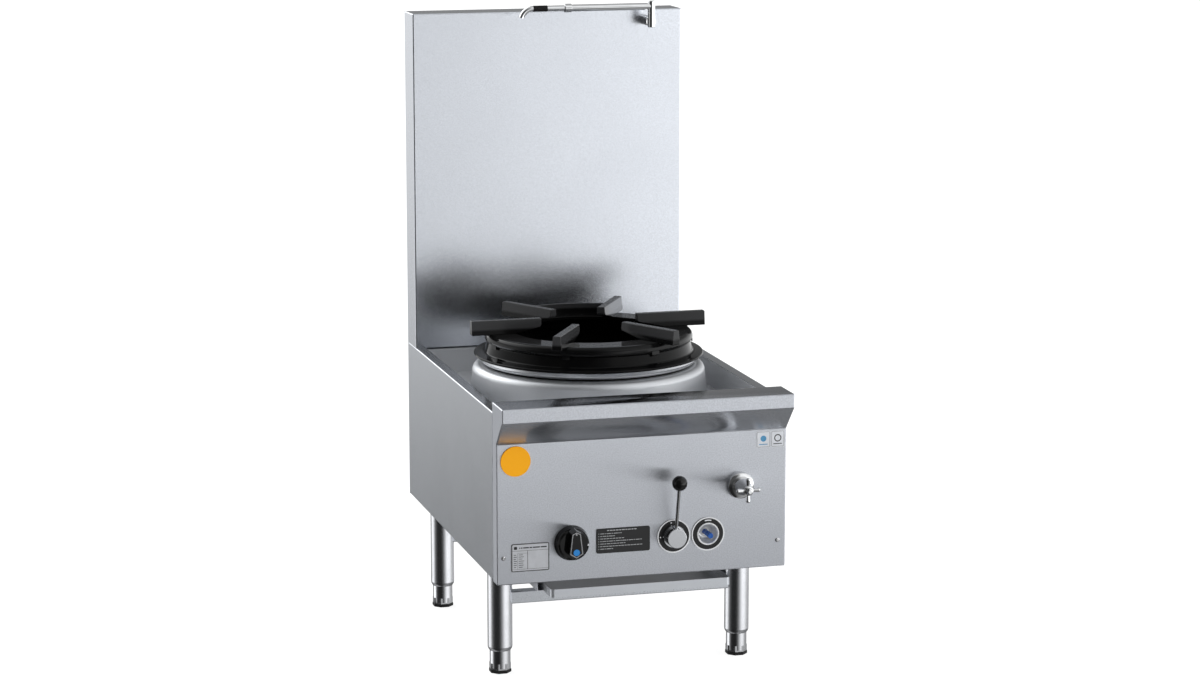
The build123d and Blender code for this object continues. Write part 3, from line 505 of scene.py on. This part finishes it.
# index line, tick and plain dot on the knob's grip
K = 0.001
GRIP = [(0, 30.5), (8.4, 26.2), (13.2, -14.0), (0, -22.4), (-13.2, -14.0), (-8.4, 26.2)]
INNER = [(0, 28.6), (6.8, 25.0), (11.3, -13.0), (0, -20.1), (-11.3, -13.0), (-6.8, 25.0)]
bm = bmesh.new()
frame_band(bm, [(KNOB_X + a * K, CTRL_Z + b * K) for a, b in GRIP], [(KNOB_X + a * K, CTRL_Z + b * K) for a, b in INNER],
           at(-39.1), at(-39.7))
prism(bm, [(KNOB_X + a * K, CTRL_Z + b * K) for a, b in ((-2.1, 23.2), (0.0, 24.6), (2.1, 23.2), (0.9, 28.4), (-0.9, 28.4))], at(-39.1), at(-39.7))
mesh_object("knob_index_line", bm, "silver_line", "knob")
bm = bmesh.new()
prism(bm, disc(KNOB_X, CTRL_Z - 0.0108, 0.0066), at(-39.1), at(-39.8), 0.0003)
mesh_object("knob_dot", bm, "ink_blue", "knob")
bm = bmesh.new()
prism(bm, [(KNOB_X + a * K, CTRL_Z + b * K) for a, b in ((28.2, -4.2), (31.2, -4.0), (31.4, -0.6), (28.4, -0.6))], at(-13.0), at(-15.6))
mesh_object("knob_side_mark", bm, "ink_white", "knob")

# printed rings and marks of the lever and button discs
for name, cx, body_marks in (("lever_disc_print", LEVER_X, ((180, 185), (99, 105))), ("button_disc_print", BUTTON_X, ((76, 104),))):
    bm = bmesh.new()
    frame_band(bm, disc(cx, CTRL_Z, 0.0344, 96), disc(cx, CTRL_Z, 0.0320, 96), at(-1.2), at(-1.62))
    for a0, a1 in body_marks:
        arc_band(bm, cx, CTRL_Z, 0.0268, 0.0292, a0, a1, at(-1.2), at(-1.60))
    mesh_object(name, bm, "ink_white", "stove")

# instruction plate: plain bars in place of lettering, with a small square before each line after the first
PX0, PX1, PZ0, PZ1 = -0.0964, 0.0145, 0.2784, 0.3289
bm = bmesh.new()
bars = [(0.022, 0.083, 0.0462, 0.0018), (0.008, 0.052, 0.0400, 0.0013), (0.008, 0.039, 0.0348, 0.0013), (0.008, 0.058, 0.0296, 0.0013),
        (0.008, 0.095, 0.0244, 0.0013), (0.008, 0.060, 0.0192, 0.0013), (0.008, 0.098, 0.0140, 0.0013), (0.008, 0.037, 0.0088, 0.0013)]
for k, (a, b, z, h) in enumerate(bars):
    x = a
    n = 0
    while x < b - 0.002:
        w = (0.0042, 0.0071, 0.0029, 0.0058, 0.0036, 0.0083)[(k * 5 + n * 3) % 6]
        w = min(w, b - x)
        prism(bm, rect(PX0 + x, PX0 + x + w, PZ0 + z - h / 2, PZ0 + z + h / 2), at(-1.1), at(-1.26))
        x += w + 0.0013
        n += 1
    if k:
        prism(bm, rect(PX0 + 0.0042, PX0 + 0.0056, PZ0 + z - h / 2, PZ0 + z + h / 2), at(-1.1), at(-1.26))
mesh_object("instruction_bars", bm, "ink_pale", "stove")

# data plate: dark border and blank table rules
RX0, RX1, RZ0, RZ1 = -0.2705, -0.1933, 0.2524, 0.3093
bm = bmesh.new()
frame_band(bm, rect(RX0, RX1, RZ0, RZ1, 0.003), rect(RX0 + 0.0019, RX1 - 0.0019, RZ0 + 0.0019, RZ1 - 0.0019, 0.0014), at(-0.5), at(-0.95))
for x0, x1, z0, z1 in ((0.002, 0.0752, 0.0422, 0.0428), (0.0326, 0.0336, 0.0052, 0.0424), (0.002, 0.0752, 0.0048, 0.0053),
                       (0.0125, 0.0328, 0.0372, 0.0376), (0.0125, 0.0129, 0.0052, 0.0372)):
    prism(bm, rect(RX0 + x0, RX0 + x1, RZ0 + z0, RZ0 + z1), at(-0.7), at(-0.88))
for k in range(7):
    z = 0.0338 - 0.0042 * k
    w = (0.0052, 0.0064, 0.0046, 0.0068, 0.0056, 0.0061, 0.0049)[k]
    prism(bm, rect(RX0 + 0.0046, RX0 + 0.0046 + w, RZ0 + z, RZ0 + z + 0.0012), at(-0.7), at(-0.88))
    prism(bm, rect(RX0 + 0.0150, RX0 + 0.0150 + w * 1.6, RZ0 + z, RZ0 + z + 0.0012), at(-0.7), at(-0.88))
mesh_object("data_plate_rules", bm, "ink_grey", "stove")
bm = bmesh.new()
x = RX0 + 0.0160
for k, w in enumerate((0.0022, 0.0030, 0.0118, 0.0048, 0.0150, 0.0122)):
    prism(bm, rect(x, x + w, RZ0 + 0.0470, RZ0 + 0.0494), at(-0.7), at(-0.88))
    x += w + 0.0014
prism(bm, rect(RX0 + 0.0050, RX0 + 0.0118, RZ0 + 0.0452, RZ0 + 0.0514, 0.0016), at(-0.7), at(-0.88))
mesh_object("data_plate_header", bm, "dark_ink_and_painted_shade", "stove")

# plain marks on the two blank labels
bm = bmesh.new()
for x0, x1 in ((0.2370, 0.2659), (0.2677, 0.2956)):
    frame_band(bm, rect(x0 + 0.0010, x1 - 0.0010, 0.4752, 0.5064, 0.0016), rect(x0 + 0.0015, x1 - 0.0015, 0.4757, 0.5059, 0.0012), at(-0.3), at(-0.48))
mesh_object("label_borders", bm, "ink_grey", "stove")
bm = bmesh.new()
prism(bm, disc(0.25145, 0.4925, 0.0062), at(-0.3), at(-0.50))
prism(bm, rect(0.2425, 0.2604, 0.4800, 0.4816), at(-0.3), at(-0.48))
mesh_object("label_mark_blue", bm, "ink_sky", "stove")
bm = bmesh.new()
frame_band(bm, disc(0.28165, 0.4925, 0.0076), disc(0.28165, 0.4925, 0.0056), at(-0.3), at(-0.50))
prism(bm, rect(0.2727, 0.2906, 0.4800, 0.4816), at(-0.3), at(-0.48))
mesh_object("label_mark_dark", bm, "dark_ink_and_painted_shade", "stove")

# raised rim of the badge
bm = bmesh.new()
frame_band(bm, disc(-0.2611, 0.4764, 0.0298, 96), disc(-0.2611, 0.4764, 0.0285, 96), at(-1.6), at(-2.25))
mesh_object("badge_rim", bm, "orange", "stove")

# dark crosses on the front screw heads: painted shade standing in for their cross recesses
bm = bmesh.new()
for x, z in ((-0.2860, 0.2813), (0.2832, 0.2813)):
    prism(bm, rect(x - 0.0018, x + 0.0018, z - 0.0003, z + 0.0003), at(-2.3), at(-2.66))
    prism(bm, rect(x - 0.0003, x + 0.0003, z - 0.0018, z + 0.0018), at(-2.3), at(-2.66))
mesh_object("screw_recess_painted_shade", bm, "dark_ink_and_painted_shade", "stove")


# black base rims under the feet
def octagon(r, z, cx, cy):
    return [(cx + r * math.cos(math.radians(22.5 + 45 * k)), cy + r * math.sin(math.radians(22.5 + 45 * k)), z) for k in range(8)]


for tag, sx, k in (("fl", -1, 0), ("fr", 1, 0), ("rl", -1, 1), ("rr", 1, 1)):
    cx, cy = sx * LEG_X, LEG_YS[k]
    bm = bmesh.new()
    prof = [(0.0205, 0.0002), (0.0224, 0.0002), (0.0232, 0.0010), (0.0232, 0.0062), (0.0226, 0.0072), (0.0205, 0.0072)]
    rings = [[bm.verts.new(p) for p in octagon(r, z, cx, cy)] for r, z in prof]
    for i in range(len(rings)):
        a, b = rings[i], rings[(i + 1) % len(rings)]
        for j in range(8):
            bm.faces.new((a[j], a[(j + 1) % 8], b[(j + 1) % 8], b[j]))
    mesh_object("foot_pad_" + tag, bm, "pad", "foot_" + tag, 20.0)

# ------------------------------------------------------------------------------------------------ floor, light, camera
bm = bmesh.new()
bmesh.ops.create_grid(bm, x_segments=2, y_segments=2, size=60.0)
me = bpy.data.meshes.new("floor")
bm.to_mesh(me)
bm.free()
floor = bpy.data.objects.new("floor", me)
floor.location = (0, 0, -0.0002)
scene.collection.objects.link(floor)
fm = Mat("floor_pale")
fm.set(rough=0.9, spec=0.1)
fm.color(fm.mix(fm.remap(fm.noise(1.2, 3.0, 0.5), 0.3, 0.7, 0.0, 1.0), (0.30, 0.30, 0.30), (0.32, 0.32, 0.32)))
fm.b.inputs["Emission Color"].default_value = (1, 1, 1, 1)
fm.b.inputs["Emission Strength"].default_value = 0.9
me.materials.append(fm.m)
floor.visible_glossy = False

world = bpy.data.worlds.new("studio")
scene.world = world
world.use_nodes = True
wt = world.node_tree
wt.nodes.clear()
w_out = wt.nodes.new("ShaderNodeOutputWorld")
w_bg = wt.nodes.new("ShaderNodeBackground")
wt.links.new(w_bg.outputs[0], w_out.inputs[0])
w_co = wt.nodes.new("ShaderNodeTexCoord")
w_sep = wt.nodes.new("ShaderNodeSeparateXYZ")
wt.links.new(w_co.outputs["Generated"], w_sep.inputs[0])


def wmath(op, a, b=None):
    n = wt.nodes.new("ShaderNodeMath")
    n.operation = op
    for i, v in enumerate((a, b)):
        if v is None:
            continue
        if isinstance(v, (int, float)):
            n.inputs[i].default_value = v
        else:
            wt.links.new(v, n.inputs[i])
    return n.outputs[0]


def wramp(v, stops):
    n = wt.nodes.new("ShaderNodeValToRGB")
    n.color_ramp.interpolation = "LINEAR"
    els = n.color_ramp.elements
    while len(els) < len(stops):
        els.new(0.5)
    for e, (pos, val) in zip(els, stops):
        e.position = pos
    for e, (pos, val) in zip(els, stops):
        e.color = (val, val, val, 1.0)
    wt.links.new(v, n.inputs[0])
    return n.outputs["Color"]


# light level by bearing, 0.5 is straight in front of the stove, larger to its right
bear = wmath("ADD", wmath("DIVIDE", wmath("ARCTAN2", w_sep.outputs[0], wmath("MULTIPLY", w_sep.outputs[1], -1.0)), 2 * math.pi), 0.5)
PEAK = 3.0
LOW = [(0.0, 0.47), (0.02, 0.5), (0.042, 0.58), (0.09, 1.3), (0.139, 2.5), (0.2, 2.3), (0.236, 1.05), (0.278, 0.2), (0.333, 0.11),
       (0.431, 0.09), (0.48, 0.35), (0.522, 1.05), (0.543, 1.28), (0.583, 1.85), (0.63, 2.1), (0.69, 1.95), (0.75, 1.3), (0.82, 1.2), (0.9, 1.1),
       (0.958, 0.55), (1.0, 0.47)]
HORIZON = [(0.0, 0.7), (0.02, 0.8), (0.042, 0.95), (0.07, 0.9), (0.1, 0.8), (0.14, 0.9), (0.2, 0.9), (0.25, 0.7), (0.29, 0.3), (0.333, 0.03), (0.44, 0.04),
           (0.48, 0.12), (0.522, 0.74), (0.543, 1.34), (0.583, 2.55), (0.63, 2.3), (0.69, 2.0), (0.75, 1.5), (0.82, 1.3), (0.9, 1.2), (0.958, 0.6),
           (1.0, 0.7)]
MID = [(0.0, 1.3), (0.012, 2.0), (0.045, 2.0), (0.06, 1.0), (0.078, 0.7), (0.139, 0.8), (0.2, 0.7), (0.26, 0.5), (0.3, 0.25), (0.333, 0.08),
       (0.44, 0.05), (0.48, 0.06), (0.522, 0.10), (0.543, 0.16), (0.583, 0.6), (0.63, 1.6), (0.69, 1.7), (0.75, 1.4), (0.84, 1.1), (0.89, 0.8),
       (0.93, 0.2), (0.97, 0.2), (0.985, 0.6), (1.0, 1.3)]
TOP = [(0.0, 2.2), (0.05, 2.8), (0.15, 3.0), (0.2, 2.2), (0.25, 0.6), (0.3, 0.12), (0.36, 0.08), (0.43, 0.08), (0.475, 0.12), (0.515, 0.5),
       (0.543, 1.1), (0.6, 1.3), (0.7, 1.1), (0.8, 0.8), (0.88, 0.25), (0.95, 0.14), (0.985, 0.9), (1.0, 2.2)]
by_low = wramp(bear, [(t, v / PEAK) for t, v in LOW])
by_horizon = wramp(bear, [(t, v / PEAK) for t, v in HORIZON])
by_mid = wramp(bear, [(t, v / PEAK) for t, v in MID])
by_top = wramp(bear, [(t, v / PEAK) for t, v in TOP])


def wmix(f, a, b, blend="MIX"):
    n = wt.nodes.new("ShaderNodeMix")
    n.data_type = "RGBA"
    n.blend_type = blend
    if isinstance(f, (int, float)):
        n.inputs["Factor"].default_value = f
    else:
        wt.links.new(f, n.inputs["Factor"])
    for sock, v in zip([i for i in n.inputs if i.type == "RGBA"], (a, b)):
        if isinstance(v, tuple):
            sock.default_value = (*v, 1.0)
        else:
            wt.links.new(v, sock)
    return [o for o in n.outputs if o.type == "RGBA"][0]


# light level by height above the horizon, the bright panels reach lower than the rest
elev = wmath("ADD", wmath("MULTIPLY", w_sep.outputs[2], 0.5), 0.5)
bw = wt.nodes.new("ShaderNodeRGBToBW")
wt.links.new(by_low, bw.inputs[0])
low = wmath("ADD", elev, wmath("MULTIPLY", bw.outputs[0], 0.082))
HEIGHTS = [(-1.0, 0.18), (-0.60, 0.19), (-0.45, 0.18), (-0.30, 0.15), (-0.20, 0.36), (-0.12, 0.86), (-0.05, 1.1), (0.1, 1.15), (0.5, 1.0), (1.0, 0.9)]
by_height = wramp(low, [((e + 1.0) / 2.0, v / 1.2) for e, v in HEIGHTS])
by_bearing = wmix(wramp(elev, [(0.0, 0.0), (0.38, 0.0), (0.41, 1.0), (1.0, 1.0)]), by_low, by_horizon)
by_bearing = wmix(wramp(elev, [(0.0, 0.0), (0.485, 0.0), (0.54, 1.0), (1.0, 1.0)]), by_bearing, by_mid)
by_bearing = wmix(wramp(elev, [(0.0, 0.0), (0.60, 0.0), (0.68, 1.0), (1.0, 1.0)]), by_bearing, by_top)
# overhead, the bearing no longer matters
over = wramp(elev, [(0.0, 0.0), (0.87, 0.0), (0.97, 1.0), (1.0, 1.0)])
lit = wmix(over, by_bearing, (0.22, 0.22, 0.22))
lit = wmix(1.0, lit, by_height, "MULTIPLY")
wt.links.new(wmix(1.0, lit, (0.985, 0.995, 1.0), "MULTIPLY"), w_bg.inputs["Color"])
w_bg.inputs["Strength"].default_value = PEAK * 1.2

# a soft light between the body and the drip tray
under = bpy.data.lights.new("under_body", "AREA")
under.shape = "RECTANGLE"
under.size, under.size_y = 0.36, 0.56
under.energy = 0.08
under_obj = bpy.data.objects.new("under_body", under)
under_obj.location = (0.0, 0.325 - Y_MID, 0.2255)
under_obj.visible_camera = False
scene.collection.objects.link(under_obj)

cam_data = bpy.data.cameras.new("camera")
cam = bpy.data.objects.new("camera", cam_data)
scene.collection.objects.link(cam)
cam_data.sensor_fit = "HORIZONTAL"
cam_data.sensor_width = 36.0
cam_data.lens = 95.385
cam_data.clip_start, cam_data.clip_end = 0.1, 200.0
cam.location = (-1.73084, -5.92128 - Y_MID, 1.84996)
cam.rotation_euler = (math.radians(90.0 - 10.46), 0.0, math.radians(-15.50))
scene.camera = cam
